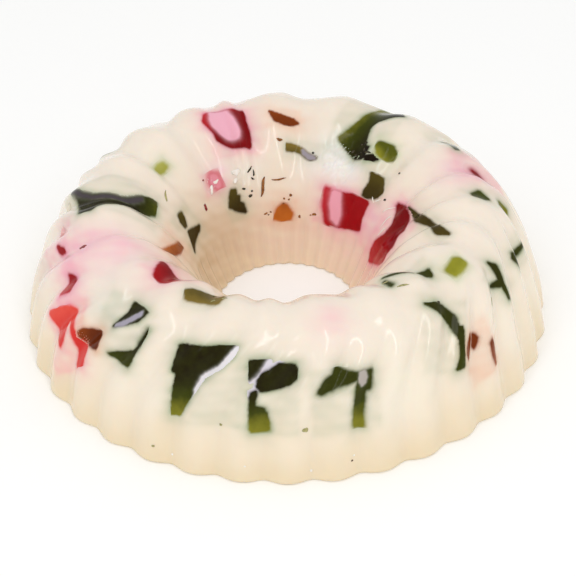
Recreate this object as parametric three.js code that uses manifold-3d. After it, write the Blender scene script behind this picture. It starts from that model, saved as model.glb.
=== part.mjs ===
// Moulded milk jelly ring with firm coloured jelly cubes set in it.
// Units are millimetres, +Z is up. The origin is on the ring's axis, on the flat underside.
// Azimuth is measured in degrees from the front (-Y), growing towards the right (+X).
// "Along" is the place on the ring's outline: 0 at the outer foot, 1 at the foot of the hole.

import * as THREE from 'three';
import { mergeVertices } from 'three/addons/utils/BufferGeometryUtils.js';
import Module from 'manifold-3d';

// ---- Driving dimensions ---------------------------------------------------------------

const RING_RADIUS = 110;          // to the crest of the flutes at the foot
const RING_HEIGHT = 56;           // to the top of the dome
const HOLE_RADIUS = 28.8;         // at the foot of the hole

const FLUTES = 36;                // lobes round the ring
const FLUTE_START = -5.2;         // azimuth of one groove at the foot, degrees
const FLUTE_DEPTH_FOOT = 2.4;     // groove depth at the outer foot
const FLUTE_DEPTH_DOME = 2.9;     // groove depth over the shoulder and the dome
const FLUTE_DEPTH_SLOPE = 0.15;   // groove depth on the slope into the hole
const FLUTE_DEPTH_HOLE = 0.8;     // groove depth low in the hole
const VALLEY_SOFTNESS = 0.42;     // 0 gives a sharp valley between two lobes

// On the dome the flutes run together in wider lobes; a wider lobe stands higher.
const DOME_GROOVE = 2.2;          // depth of a full groove under the smooth outline
const DOME_CREST = 1.6;           // height of the widest lobe over it
// Each groove of the dome: its azimuth, and its depth as a share of the full one.
const DOME_GROOVES = [
  [-165, 1.0], [-157, 0.9], [-141, 1.0], [-120, 1.0], [-107, 0.4], [-94, 1.1],
  [-74, 0.7], [-60, 0.4], [-44, 1.0], [-25, 0.9], [-11, 0.5], [-1, 0.5],
  [22, 0.4], [34, 0.7], [47, 1.0], [67, 1.0], [80, 1.0], [93, 0.7],
  [106, 1.0], [126, 0.9], [149, 1.1], [173, 1.0],
];

const SWIRL_ANGLE = 12;           // how far the grooves turn over the shoulder, degrees
const SWIRL_FROM = 0.14;          // where along the outline the turn begins
const SWIRL_TO = 0.46;            // and where it ends

const STEPS_PER_FLUTE = 3;
const OUTLINE_STEPS = 12;
const GAP = 0.3;                  // clearance between a cube and the milk jelly

const COLOURS = {
  milk: 0xf6e8d4,
  green: 0x23280f,
  lime: 0x93ab3e,
  olive: 0x6b6428,
  red: 0xb5152a,
  scarlet: 0xe23a38,
  amber: 0xa4541c,
};

// ---- The ring's outline ---------------------------------------------------------------

// Radius and height, as shares of the ring radius and of the ring height.
const OUTLINE = new THREE.SplineCurve([
  [1.000, 0.000],
  [0.968, 0.314],
  [0.905, 0.628],
  [0.805, 0.892],
  [0.650, 1.000],
  [0.492, 0.824],
  [0.372, 0.510],
  [0.300, 0.176],
  [HOLE_RADIUS / RING_RADIUS, 0.000],
].map(([radius, height]) => new THREE.Vector2(radius * RING_RADIUS, height * RING_HEIGHT)));

const smoothstep = (from, to, value) => THREE.MathUtils.smoothstep(value, from, to);

// The point and the outward normal of the smooth outline.
function outlineAt(along) {
  const point = OUTLINE.getPointAt(along);
  const tangent = OUTLINE.getTangentAt(along);
  return { radius: point.x, height: point.y, normal: new THREE.Vector2(tangent.y, -tangent.x) };
}

function swirlAt(along) {
  return SWIRL_ANGLE * smoothstep(SWIRL_FROM, SWIRL_TO, along);
}

function fluteDepth(along) {
  const { lerp } = THREE.MathUtils;
  const onDome = lerp(FLUTE_DEPTH_FOOT, FLUTE_DEPTH_DOME, smoothstep(0.05, 0.3, along));
  const onSlope = lerp(onDome, FLUTE_DEPTH_SLOPE, smoothstep(0.52, 0.7, along));
  return lerp(onSlope, FLUTE_DEPTH_HOLE, smoothstep(0.84, 0.88, along));
}

// 1 in a groove, 0 on the crest of a lobe; phase runs from 0 to 1 from groove to groove.
function valley(phase) {
  const crest = Math.hypot(1, VALLEY_SOFTNESS) - VALLEY_SOFTNESS;
  const rise = Math.hypot(Math.sin(Math.PI * phase), VALLEY_SOFTNESS) - VALLEY_SOFTNESS;
  return 1 - rise / crest;
}

// Height of the wide lobes over the smooth outline, below 0 in their grooves.
function domeRelief(azimuth) {
  const first = DOME_GROOVES[0][0];
  const turned = ((((azimuth - first) % 360) + 360) % 360) + first;
  let index = DOME_GROOVES.length - 1;
  while (DOME_GROOVES[index][0] > turned) {
    index -= 1;
  }
  const [start, startShare] = DOME_GROOVES[index];
  const [next, nextShare] = DOME_GROOVES[(index + 1) % DOME_GROOVES.length];
  const width = (next - start + 360) % 360;
  const share = (turned - start) / width;
  const floor = -DOME_GROOVE * THREE.MathUtils.lerp(startShare, nextShare, share);
  const crest = THREE.MathUtils.clamp(0.9 * (width / 10 - 1), 0.2, DOME_CREST);
  return THREE.MathUtils.lerp(crest, floor, valley(share));
}

// How deep the surface lies under the smooth outline. The azimuth is taken at the foot,
// before the swirl, and phase counts the flutes there.
function dropAt(footAzimuth, phase, along) {
  const even = fluteDepth(along) * valley(phase);
  const onDome = smoothstep(0.27, 0.42, along) * (1 - smoothstep(0.6, 0.8, along));
  return THREE.MathUtils.lerp(even, -domeRelief(footAzimuth + SWIRL_ANGLE), onDome);
}

// ---- Solids ---------------------------------------------------------------------------

const wasm = await Module();
wasm.setup();

function toManifold(geometry) {
  const bare = geometry.clone();
  bare.deleteAttribute('normal');
  bare.deleteAttribute('uv');
  const merged = mergeVertices(bare, 1e-3);
  return new wasm.Manifold(new wasm.Mesh({
    numProp: 3,
    vertProperties: new Float32Array(merged.attributes.position.array),
    triVerts: new Uint32Array(merged.index.array),
  }));
}

function toGeometry(solid) {
  const mesh = solid.getMesh();
  const geometry = new THREE.BufferGeometry();
  geometry.setAttribute('position', new THREE.BufferAttribute(mesh.vertProperties, 3));
  geometry.setIndex(new THREE.BufferAttribute(mesh.triVerts, 1));
  geometry.computeVertexNormals();
  return geometry;
}

// The largest connected piece, so that a cut never leaves a loose sliver.
function largestPiece(solid) {
  const pieces = solid.decompose();
  return pieces.reduce((best, piece) => (piece.volume() > best.volume() ? piece : best));
}

// The fluted ring without its cubes: a lathe whose rows are turned with the swirl and
// whose points are drawn in along the outline's normal at each groove.
function flutedRing() {
  const rows = [];
  for (let row = 0; row <= OUTLINE_STEPS; row += 1) {
    rows.push(outlineAt(row / OUTLINE_STEPS));
  }
  const profile = rows.map((at) => new THREE.Vector2(at.radius, at.height));
  profile.push(profile[0].clone());
  const lathe = new THREE.LatheGeometry(profile, FLUTES * STEPS_PER_FLUTE);
  lathe.rotateX(Math.PI / 2);

  const position = lathe.attributes.position;
  const rowCount = profile.length;
  for (let i = 0; i < position.count; i += 1) {
    const row = i % rowCount;
    const step = Math.floor(i / rowCount) % (FLUTES * STEPS_PER_FLUTE);
    const closing = row === rowCount - 1;
    const along = closing ? 0 : row / OUTLINE_STEPS;
    const at = rows[closing ? 0 : row];
    const onFloor = along === 0 || along === 1;
    const footAzimuth = (360 * step) / (FLUTES * STEPS_PER_FLUTE) + FLUTE_START;
    const drop = dropAt(footAzimuth, step / STEPS_PER_FLUTE, along);
    const radius = at.radius - drop * at.normal.x;
    const height = onFloor ? 0 : at.height - drop * at.normal.y;
    const azimuth = THREE.MathUtils.degToRad(footAzimuth + swirlAt(along));
    position.setXYZ(i, radius * Math.sin(azimuth), -radius * Math.cos(azimuth), height);
  }
  return toManifold(lathe);
}

// A frame on the smooth ring: x runs to the right, y up the outline, z straight out.
function placeOnRing(azimuth, along, turn, cover, depth) {
  const at = outlineAt(along);
  const angle = THREE.MathUtils.degToRad(azimuth);
  const outward = new THREE.Vector3(Math.sin(angle), -Math.cos(angle), 0);
  const right = new THREE.Vector3(Math.cos(angle), Math.sin(angle), 0);
  const normal = outward.clone().multiplyScalar(at.normal.x);
  normal.z = at.normal.y;
  const up = new THREE.Vector3().crossVectors(normal, right);
  const centre = outward.clone().multiplyScalar(at.radius);
  centre.z = at.height;
  centre.addScaledVector(normal, -(cover + depth / 2));
  const frame = new THREE.Matrix4().makeBasis(right, up, normal);
  frame.multiply(new THREE.Matrix4().makeRotationZ(THREE.MathUtils.degToRad(turn)));
  frame.setPosition(centre);
  return frame;
}

function cubeSolid(cube, grow) {
  const box = new THREE.BoxGeometry(
    cube.width + 2 * grow,
    cube.height + 2 * grow,
    cube.depth + 2 * grow,
  );
  box.applyMatrix4(placeOnRing(cube.azimuth, cube.along, cube.turn, cube.cover, cube.depth));
  return toManifold(box);
}

// ---- The cubes ------------------------------------------------------------------------

// width runs round the ring and height up the outline; turn is in degrees, counter-clockwise
// seen from outside. cover is how deep the flat outer face lies under the crest of the
// smooth outline at its middle, so that the milky film over it is thin or gone there.
function cube(name, colour, azimuth, along, width, height, turn, cover) {
  const depth = Math.min(14, 0.55 * (width + height) / 2 + 3);
  return { name, colour, azimuth, along, width, height, turn, cover, depth };
}

const CUBES = [
  // Front, from left to right.
  cube('cube_red_left', 'scarlet', -59.2, 0.196, 25, 26, 42, 1.5),
  cube('cube_green_left', 'green', -43.5, 0.315, 23, 25, 0, 2.0),
  cube('cube_green_front_left', 'green', -19.0, 0.263, 28, 31, 6, 1.7),
  cube('cube_green_front', 'green', -3.4, 0.250, 19, 29, 0, 1.7),
  cube('cube_green_front_right', 'green', 12.6, 0.230, 25, 25, 0, 2.1),
  cube('cube_green_shoulder', 'green', 40.3, 0.301, 20, 27, -25, 2.0),
  cube('cube_amber_right', 'amber', 48.6, 0.205, 16, 20, 8, 1.9),
  cube('cube_green_right', 'green', 65.0, 0.311, 13, 18, 15, 2.0),
  cube('cube_green_right_low', 'green', 80.5, 0.283, 23, 11, -15, 2.0),
  // Right and back, over the dome.
  cube('cube_green_right_high', 'green', 93.0, 0.397, 10, 24, 15, 1.8),
  cube('cube_red_right_back', 'red', 108.0, 0.390, 24, 20, 10, 2.1),
  cube('cube_green_back_right', 'green', 121.8, 0.410, 20, 14, 0, 2.0),
  cube('cube_green_back_large', 'green', 147.0, 0.520, 27, 37, 4, 1.8),
  cube('cube_green_far_back', 'green', 166.0, 0.285, 20, 22, 12, 2.0),
  cube('cube_red_far_back', 'red', -169.0, 0.345, 18, 17, -10, 2.0),
  cube('cube_amber_far_back', 'amber', -147.0, 0.270, 15, 18, 8, 1.9),
  cube('cube_green_far_left', 'green', -121.0, 0.320, 22, 20, -14, 2.0),
  cube('cube_lime_back', 'lime', 133.6, 0.590, 11, 9, 10, 0.6),
  cube('cube_lime_right', 'lime', 55.5, 0.435, 12, 9, 0, 0.8),
  cube('cube_green_rim_right', 'green', 43.0, 0.525, 20, 12, -22, 1.6),
  cube('cube_green_tail', 'olive', 82.0, 0.606, 39, 8, 30, 1.0),
  cube('cube_amber_back', 'amber', 180.0, 0.556, 14, 8, 0, 1.0),
  cube('cube_red_back', 'red', -157.6, 0.568, 21, 23, 4, 1.4),
  cube('cube_lime_left', 'lime', -121.0, 0.585, 9, 7, 0, 0.5),
  cube('cube_green_left_long', 'green', -94.5, 0.512, 26, 37, 0, 1.9),
  // Left, from the rim of the dome to the shoulder.
  cube('cube_red_rim_left', 'red', -45.2, 0.546, 17, 13, 0, 0.9),
  cube('cube_olive_rim', 'olive', -26.5, 0.514, 17, 13, 20, 1.0),
  cube('cube_red_shoulder_left', 'red', -67.0, 0.295, 12, 13, 12, 1.8),
  cube('cube_red_far_left', 'red', -83.0, 0.300, 17, 17, -10, 1.9),
  cube('cube_russet_left', 'amber', -51.9, 0.253, 15, 9, 0, 1.0),
  // The slope into the hole.
  cube('cube_russet_hole_left', 'amber', -78.3, 0.705, 27, 11, -24, 0.2),
  cube('cube_green_hole_left', 'olive', -108.4, 0.765, 15, 18, 0, 0.0),
  cube('cube_pink_hole', 'red', -140.0, 0.702, 10, 9, 0, 0.0),
  cube('cube_green_hole_back', 'olive', -149.0, 0.785, 10, 14, 10, -0.2),
  cube('cube_amber_hole', 'amber', 180.5, 0.837, 10, 9, 0, -0.2),
  cube('cube_green_hole_broken', 'olive', 170.5, 0.657, 17, 8, -6, 0.2),
  cube('cube_red_hole_back', 'red', 140.0, 0.803, 26, 18, 0, -0.2),
  cube('cube_olive_hole', 'olive', 128.0, 0.697, 12, 12, 10, -0.2),
  cube('cube_red_hole_right', 'red', 95.5, 0.765, 24, 32, 6, -0.2),
];

// ---- The object -----------------------------------------------------------------------

function dressed(name, solid, colour) {
  const material = new THREE.MeshStandardMaterial({ color: colour, roughness: 0.15, metalness: 0 });
  const mesh = new THREE.Mesh(toGeometry(solid), material);
  mesh.name = name;
  return mesh;
}

function mouldedJelly() {
  const group = new THREE.Group();
  const ring = flutedRing();
  let body = ring;
  let taken = null;
  for (const each of CUBES) {
    const whole = cubeSolid(each, 0).intersect(ring);
    const solid = largestPiece(taken ? whole.subtract(taken) : whole);
    const pocket = cubeSolid(each, GAP);
    group.add(dressed(each.name, solid, COLOURS[each.colour]));
    body = body.subtract(pocket);
    taken = taken ? taken.add(pocket) : pocket;
  }
  group.add(dressed('milk_jelly_ring', largestPiece(body), COLOURS.milk));
  return group;
}

export default mouldedJelly();
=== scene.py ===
"""A moulded ring of milk jelly with firm coloured jelly cubes set in it.

The ring was cast upside down in a fluted mould and turned out on its flat side. The cubes lie
against the mould, so they show where its ridges touched them, in the grooves of the jelly, and
are milky where the lobes cover them. Lengths are in metres, azimuths in degrees from the front
(-Y) towards the right (+X), and "along" runs over the outline from 0 at the outer foot to 1 at
the foot of the hole.
"""

import logging
import math
from dataclasses import dataclass, field
from enum import Enum

import bpy
import numpy as np
from mathutils import Matrix, Vector
from mathutils.bvhtree import BVHTree


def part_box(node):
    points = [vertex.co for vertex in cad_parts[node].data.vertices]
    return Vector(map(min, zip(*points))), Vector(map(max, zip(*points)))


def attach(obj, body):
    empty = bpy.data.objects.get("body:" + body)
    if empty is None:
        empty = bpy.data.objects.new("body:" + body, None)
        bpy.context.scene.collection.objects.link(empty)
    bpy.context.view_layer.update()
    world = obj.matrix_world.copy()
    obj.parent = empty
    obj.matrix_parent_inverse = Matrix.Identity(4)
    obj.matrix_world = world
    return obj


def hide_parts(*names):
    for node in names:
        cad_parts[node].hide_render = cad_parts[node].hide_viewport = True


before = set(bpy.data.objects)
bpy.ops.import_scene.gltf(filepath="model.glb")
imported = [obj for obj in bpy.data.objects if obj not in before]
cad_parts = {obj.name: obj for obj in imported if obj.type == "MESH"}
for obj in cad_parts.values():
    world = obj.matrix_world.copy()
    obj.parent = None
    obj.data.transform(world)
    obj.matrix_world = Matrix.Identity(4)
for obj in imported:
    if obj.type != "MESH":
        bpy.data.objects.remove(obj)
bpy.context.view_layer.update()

LOG = logging.getLogger("moulded_jelly")
MM = 0.001
BODY = "root"
RING_NODE = "milk_jelly_ring"


# ---- Small tools ------------------------------------------------------------------------


def linear(colour: str) -> tuple[float, float, float, float]:
    """Turns an sRGB hex colour into linear red, green, blue and full alpha.

    Args:
        colour: Six hex digits, such as "f6e8d4".

    Returns:
        The linear colour with alpha 1.
    """
    channels = [int(colour[i : i + 2], 16) / 255 for i in (0, 2, 4)]
    return (*[c / 12.92 if c <= 0.04045 else ((c + 0.055) / 1.055) ** 2.4 for c in channels], 1.0)


def smoothstep(start: float, end: float, value: np.ndarray) -> np.ndarray:
    """Rises smoothly from 0 at start to 1 at end."""
    share = np.clip((np.asarray(value, float) - start) / (end - start), 0, 1)
    return share * share * (3 - 2 * share)


def add_node(
    tree: bpy.types.NodeTree, kind: str, settings: dict | None = None, links: dict | None = None
) -> bpy.types.Node:
    """Adds one shader node, sets it and links it.

    Args:
        tree: The material's node tree.
        kind: The node's type name.
        settings: Attribute names, or input names or numbers, with their values.
        links: Input names or numbers with the output sockets that feed them.

    Returns:
        The new node.
    """
    node = tree.nodes.new(kind)
    for key, value in (settings or {}).items():
        if isinstance(key, str) and hasattr(node, key):
            setattr(node, key, value)
        else:
            node.inputs[key].default_value = value
    for key, socket in (links or {}).items():
        tree.links.new(socket, node.inputs[key])
    return node


def deselect_all() -> None:
    """Clears the selection, because operators act on all that is selected."""
    bpy.ops.object.select_all(action="DESELECT")


def points_of(mesh: bpy.types.Mesh) -> np.ndarray:
    """Reads a mesh's vertices.

    Args:
        mesh: The mesh to read.

    Returns:
        One point for each vertex.
    """
    flat = np.empty(len(mesh.vertices) * 3)
    mesh.vertices.foreach_get("co", flat)
    return flat.reshape(-1, 3)


def move_points(mesh: bpy.types.Mesh, points: np.ndarray) -> None:
    """Moves all of a mesh's vertices to new points."""
    mesh.vertices.foreach_set("co", np.ascontiguousarray(points, float).ravel())
    mesh.update()


def store_colours(mesh: bpy.types.Mesh, name: str, colours: np.ndarray) -> None:
    """Stores one linear colour for each vertex as a colour attribute.

    Args:
        mesh: The mesh to write to.
        name: The attribute's name.
        colours: One row of red, green, blue and alpha for each vertex.
    """
    layer = mesh.color_attributes.new(name, "FLOAT_COLOR", "POINT")
    layer.data.foreach_set("color", np.ascontiguousarray(colours, float).ravel())


def surface_tree(piece: bpy.types.Object) -> BVHTree:
    """Keeps a piece's surface in a form in which a point on it is found quickly.

    Args:
        piece: Which piece, at the origin.

    Returns:
        The tree of its faces.
    """
    faces = [tuple(face.vertices) for face in piece.data.polygons]
    return BVHTree.FromPolygons([tuple(point) for point in points_of(piece.data)], faces)


def ripple(points: np.ndarray, wavelength: float, seed: int, waves: int = 7) -> np.ndarray:
    """A smooth field between about -1 and 1, made of sine waves in seeded directions.

    Args:
        points: Where the field is wanted.
        wavelength: The length of the longest wave.
        seed: Picks the waves, so that the same seed gives the same field.
        waves: How many waves are added up.

    Returns:
        One value for each point.
    """
    draw = np.random.default_rng(seed)
    total = np.zeros(len(points))
    for step in range(waves):
        direction = draw.normal(size=3)
        direction /= np.linalg.norm(direction)
        length = wavelength / (1 + 0.45 * step)
        total += np.sin(points @ direction * (2 * math.pi / length) + draw.uniform(0, 2 * math.pi))
    return total / math.sqrt(2 * waves)


# ---- The ring's shape -------------------------------------------------------------------


class Outline:
    """The ring's smooth outline: radius, height and normal for a place along it."""

    SHAPE = (
        (1.000, 0.000),
        (0.968, 0.314),
        (0.905, 0.628),
        (0.805, 0.892),
        (0.650, 1.000),
        (0.492, 0.824),
        (0.372, 0.510),
        (0.300, 0.176),
        (0.262, 0.000),
    )
    STEPS_PER_SPAN = 100
    SLOPE_STEP = 0.004

    def __init__(self, ring_radius: float, ring_height: float) -> None:
        """Makes the outline to size.

        Args:
            ring_radius: To the crest of the lobes at the foot.
            ring_height: To the top of the dome.
        """
        knots = np.array(self.SHAPE) * (ring_radius, ring_height)
        knots = np.vstack([knots[0], knots, knots[-1]])
        share = np.linspace(0, 1, self.STEPS_PER_SPAN, endpoint=False)[:, None]
        spans = [self._span(*knots[i : i + 4], share) for i in range(len(knots) - 3)]
        self._points = np.vstack([*spans, knots[-1]])
        steps = np.hypot(*np.diff(self._points, axis=0).T)
        lengths = np.concatenate([[0], np.cumsum(steps)])
        self.length = float(lengths[-1])
        self._along = lengths / self.length

    @staticmethod
    def _span(
        before: np.ndarray, start: np.ndarray, end: np.ndarray, after: np.ndarray, share: np.ndarray
    ) -> np.ndarray:
        """Finds points on one span of a Catmull-Rom curve.

        Args:
            before: The knot before the span.
            start: The knot at its start.
            end: The knot at its end.
            after: The knot after it.
            share: Shares of the way from start to end.

        Returns:
            One point for each share.
        """
        rise, fall = 0.5 * (end - before), 0.5 * (after - start)
        cubic = 2 * start - 2 * end + rise + fall
        square = -3 * start + 3 * end - 2 * rise - fall
        return cubic * share**3 + square * share**2 + rise * share + start

    def at(self, along: np.ndarray) -> tuple[np.ndarray, np.ndarray, np.ndarray, np.ndarray]:
        """Finds places on the outline.

        Args:
            along: Places from 0 to 1.

        Returns:
            Radius, height, and the outward normal's radial and upward parts.
        """
        along = np.asarray(along, float)
        radius, height = self._place(along)
        low_radius, low_height = self._place(np.clip(along - self.SLOPE_STEP, 0, 1))
        high_radius, high_height = self._place(np.clip(along + self.SLOPE_STEP, 0, 1))
        run, rise = high_radius - low_radius, high_height - low_height
        size = np.hypot(run, rise)
        return radius, height, rise / size, -run / size

    def _place(self, along: np.ndarray) -> tuple[np.ndarray, np.ndarray]:
        """Finds radius and height on the outline.

        Args:
            along: Places from 0 to 1.

        Returns:
            The radius and the height at each.
        """
        radius = np.interp(along, self._along, self._points[:, 0])
        height = np.interp(along, self._along, self._points[:, 1])
        return radius, height


@dataclass(frozen=True)
class Flutes:
    """The lobes and grooves that the mould left round the ring.

    The outer side has narrow, even flutes. On the dome they run together in wider lobes, and
    the wider a lobe is, the higher it stands. Each groove of the dome is given by its azimuth
    and by its depth as a share of the full one.
    """

    count: int = 36
    start: float = -5.2
    depth_foot: float = 2.4 * MM
    depth_dome: float = 2.9 * MM
    dome_groove: float = 2.2 * MM
    dome_crest: float = 1.6 * MM
    dome_grooves: tuple[tuple[float, float], ...] = (
        (-165, 1.0), (-157, 0.9), (-141, 1.0), (-120, 1.0), (-107, 0.4), (-94, 1.1),
        (-74, 0.7), (-60, 0.4), (-44, 1.0), (-25, 0.9), (-11, 0.5), (-1, 0.5),
        (22, 0.4), (34, 0.7), (47, 1.0), (67, 1.0), (80, 1.0), (93, 0.7),
        (106, 1.0), (126, 0.9), (149, 1.1), (173, 1.0),
    )
    depth_slope: float = 0.15 * MM
    depth_hole: float = 0.8 * MM
    outer_side: tuple[float, float] = (0.05, 0.3)
    slope: tuple[float, float] = (0.52, 0.7)
    hole: tuple[float, float] = (0.84, 0.88)
    lobes_widen: tuple[float, float] = (0.30, 0.43)
    lobes_end: tuple[float, float] = (0.6, 0.8)
    edges_soften: tuple[float, float] = (0.2, 0.5)
    softness: float = 0.42
    dome_softness: float = 0.75
    swirl: float = 12.0
    swirl_from: float = 0.14
    swirl_to: float = 0.46

    def depth(self, along: np.ndarray) -> np.ndarray:
        """Finds how deep the even grooves are.

        Args:
            along: Places on the outline.

        Returns:
            The depth at each.
        """
        depth = self.depth_foot + (self.depth_dome - self.depth_foot) * smoothstep(*self.outer_side, along)
        depth = depth + (self.depth_slope - depth) * smoothstep(*self.slope, along)
        return depth + (self.depth_hole - depth) * smoothstep(*self.hole, along)

    def turn(self, along: np.ndarray) -> np.ndarray:
        """How far the grooves have turned, in degrees."""
        return self.swirl * smoothstep(self.swirl_from, self.swirl_to, along)

    @staticmethod
    def valley(phase: np.ndarray, softness: np.ndarray | float) -> np.ndarray:
        """1 in a groove and 0 on the crest of a lobe; phase counts the grooves."""
        crest = np.hypot(1, softness) - softness
        return 1 - (np.hypot(np.sin(np.pi * phase), softness) - softness) / crest

    def dome_relief(self, azimuth: np.ndarray) -> np.ndarray:
        """Finds the height of the wide lobes over the smooth outline.

        Args:
            azimuth: Where, in degrees, after the grooves have turned.

        Returns:
            The height at each, below 0 in the grooves.
        """
        places, shares = np.array(self.dome_grooves).T
        turned = (azimuth - places[0]) % 360 + places[0]
        index = np.searchsorted(places, turned, side="right") - 1
        after = (index + 1) % len(places)
        width = (places[after] - places[index]) % 360
        share = (turned - places[index]) / width
        floor = -self.dome_groove * (shares[index] + (shares[after] - shares[index]) * share)
        crest = np.clip(0.9 * (width / 10 - 1) * MM, 0.2 * MM, self.dome_crest)
        return crest - (crest - floor) * self.valley(share, self.dome_softness)

    def drop(self, azimuth: np.ndarray, along: np.ndarray) -> np.ndarray:
        """Finds how deep the surface lies under the smooth outline.

        Args:
            azimuth: In degrees.
            along: Places on the outline, of the same shape.

        Returns:
            The depth at each, below 0 where a lobe stands over the outline.
        """
        phase = (azimuth - self.start - self.turn(along)) * self.count / 360
        softened = smoothstep(*self.edges_soften, along)
        softness = self.softness + (self.dome_softness - self.softness) * softened
        even = self.depth(along) * self.valley(phase, softness)
        on_dome = smoothstep(*self.lobes_widen, along) * (1 - smoothstep(*self.lobes_end, along))
        lobes = self.dome_relief(azimuth + self.swirl - self.turn(along))
        return even * (1 - on_dome) - lobes * on_dome


@dataclass(frozen=True)
class RingShape:
    """The whole moulded surface: the outline, fluted and turned round the axis."""

    outline: Outline
    flutes: Flutes

    def frame_at(self, azimuth: float, along: float) -> Matrix:
        """Finds a frame on the smooth ring.

        Args:
            azimuth: In degrees.
            along: A place on the outline.

        Returns:
            The frame there: x to the right, y up the outline and z straight out.
        """
        radius, height, out, up = (float(v) for v in self.outline.at(along))
        angle = math.radians(azimuth)
        outward = Vector((math.sin(angle), -math.cos(angle), 0))
        right = Vector((math.cos(angle), math.sin(angle), 0))
        normal = outward * out + Vector((0, 0, up))
        place = outward * radius + Vector((0, 0, height))
        turned = Matrix((right, normal.cross(right), normal)).transposed().to_4x4()
        return Matrix.Translation(place) @ turned

    def surface(self, azimuth: np.ndarray, along: np.ndarray) -> np.ndarray:
        """Points of the fluted surface.

        Args:
            azimuth: In degrees.
            along: Places on the outline, of the same shape.

        Returns:
            One point for each pair.
        """
        radius, height, out, up = self.outline.at(along)
        drop = self.flutes.drop(azimuth, along)
        radius = radius - drop * out
        height = np.maximum(height - drop * up, 0)
        angle = np.radians(azimuth)
        return np.stack([radius * np.sin(angle), -radius * np.cos(angle), height], axis=-1)


# ---- Finishes ---------------------------------------------------------------------------


@dataclass(frozen=True)
class JellyFinish:
    """Firm fruit jelly, cut with a knife: clear, coloured through, wet and very smooth.

    Thick jelly swallows the light and looks almost black, and thin edges let it through. That light is
    painted: a level picks the colour from deep over middle to thin.
    The dye is its colour in the milk close by.
    """

    name: str
    slot: str
    deep: str
    middle: str
    thin: str
    dye: str
    dye_strength: float
    dye_reach: float
    body: float
    roughness: float = 0.08
    streak_size: float = 4.0 * MM


class Jelly(Enum):
    """The fruit jellies that the cubes were cut from."""

    GREEN = JellyFinish(
        "green_fruit_jelly", "green_jelly", "1c1206", "3f4410", "8e8a2a", "a3b08a", 0.85, 2.2, 0.24
    )
    LIME = JellyFinish(
        "lime_fruit_jelly", "lime_jelly", "565a16", "94922c", "b6b45e", "c2d2a2", 0.65, 2.0, 0.35
    )
    OLIVE = JellyFinish(
        "olive_fruit_jelly", "olive_jelly", "2e200c", "564a1a", "8f7838", "bcc0a0", 0.60, 1.8, 0.3
    )
    RED = JellyFinish(
        "red_fruit_jelly", "red_jelly", "75080c", "ad141c", "cf3c48", "f59db2", 0.85, 2.8, 0.35
    )
    SCARLET = JellyFinish(
        "scarlet_fruit_jelly", "scarlet_jelly", "bf2a22", "dc3732", "ec5a4c", "f99aa6", 0.85, 2.6, 0.4
    )
    AMBER = JellyFinish(
        "amber_fruit_jelly", "amber_jelly", "5e2408", "8c3f14", "c26a26", "f0b796", 0.65, 3.0, 0.4
    )


class JellyMaterial:
    """Dresses cubes: clear jelly where they are bare, milk over it where they are not, and a painted sheen on
    some thin milk over dark jelly.
    """

    SHADE = "jelly"
    MILK = "milk"

    def __init__(self) -> None:
        """Starts with no material made."""
        self._made: dict[str, bpy.types.Material] = {}

    def of(self, finish: JellyFinish) -> bpy.types.Material:
        """Returns the material of one jelly, made when it is first asked for.

        Args:
            finish: Which jelly.

        Returns:
            Its material.
        """
        if finish.name not in self._made:
            self._made[finish.name] = self._make(finish)
        return self._made[finish.name]

    def _make(self, finish: JellyFinish) -> bpy.types.Material:
        """Builds the node tree of one jelly.

        Args:
            finish: Which jelly.

        Returns:
            The new material.
        """
        material = bpy.data.materials.new(finish.name)
        material.use_nodes = True
        tree = material.node_tree
        shader = tree.nodes["Principled BSDF"]
        place = add_node(tree, "ShaderNodeTexCoord").outputs["Object"]
        shade = add_node(tree, "ShaderNodeAttribute", {"attribute_name": self.SHADE}).outputs["Color"]
        parts = add_node(tree, "ShaderNodeSeparateColor", links={"Color": shade})
        cloud = add_node(
            tree, "ShaderNodeTexNoise", {"Scale": 1 / finish.streak_size, "Detail": 3.0}, {"Vector": place}
        ).outputs["Fac"]
        wobble = add_node(
            tree, "ShaderNodeMath", {"operation": "MULTIPLY_ADD", 1: 0.3, 2: -0.15}, {0: cloud}
        ).outputs[0]
        # The level holds painted light, lighter towards one side of the cube, and picks the colour from deep
        # to thin.
        level = add_node(
            tree, "ShaderNodeMath", {"operation": "ADD", "use_clamp": True}, {0: parts.outputs[0], 1: wobble}
        ).outputs[0]
        ramp = add_node(tree, "ShaderNodeValToRGB", links={"Fac": level})
        ramp.color_ramp.elements[0].color = linear(finish.deep)
        ramp.color_ramp.elements[1].color = linear(finish.thin)
        ramp.color_ramp.elements.new(0.5).color = linear(finish.middle)
        milk = add_node(tree, "ShaderNodeAttribute", {"attribute_name": self.MILK}).outputs["Color"]
        mixed = add_node(
            tree,
            "ShaderNodeMix",
            {"data_type": "RGBA"},
            {0: parts.outputs[1], 6: milk, 7: ramp.outputs["Color"]},
        )
        tree.links.new(mixed.outputs[2], shader.inputs["Base Color"])
        shader.inputs["Roughness"].default_value = finish.roughness
        # Sugar water bends light a little more than water does. Its wet face mirrors little of a
        # white room, so that thick jelly stays dark.
        shader.inputs["IOR"].default_value = 1.36
        shader.inputs["Specular IOR Level"].default_value = 0.12
        shader.inputs["Subsurface Weight"].default_value = 0.12
        shader.inputs["Subsurface Radius"].default_value = (1.0, 0.7, 0.5)
        shader.inputs["Subsurface Scale"].default_value = 1.5 * MM
        return material


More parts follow.
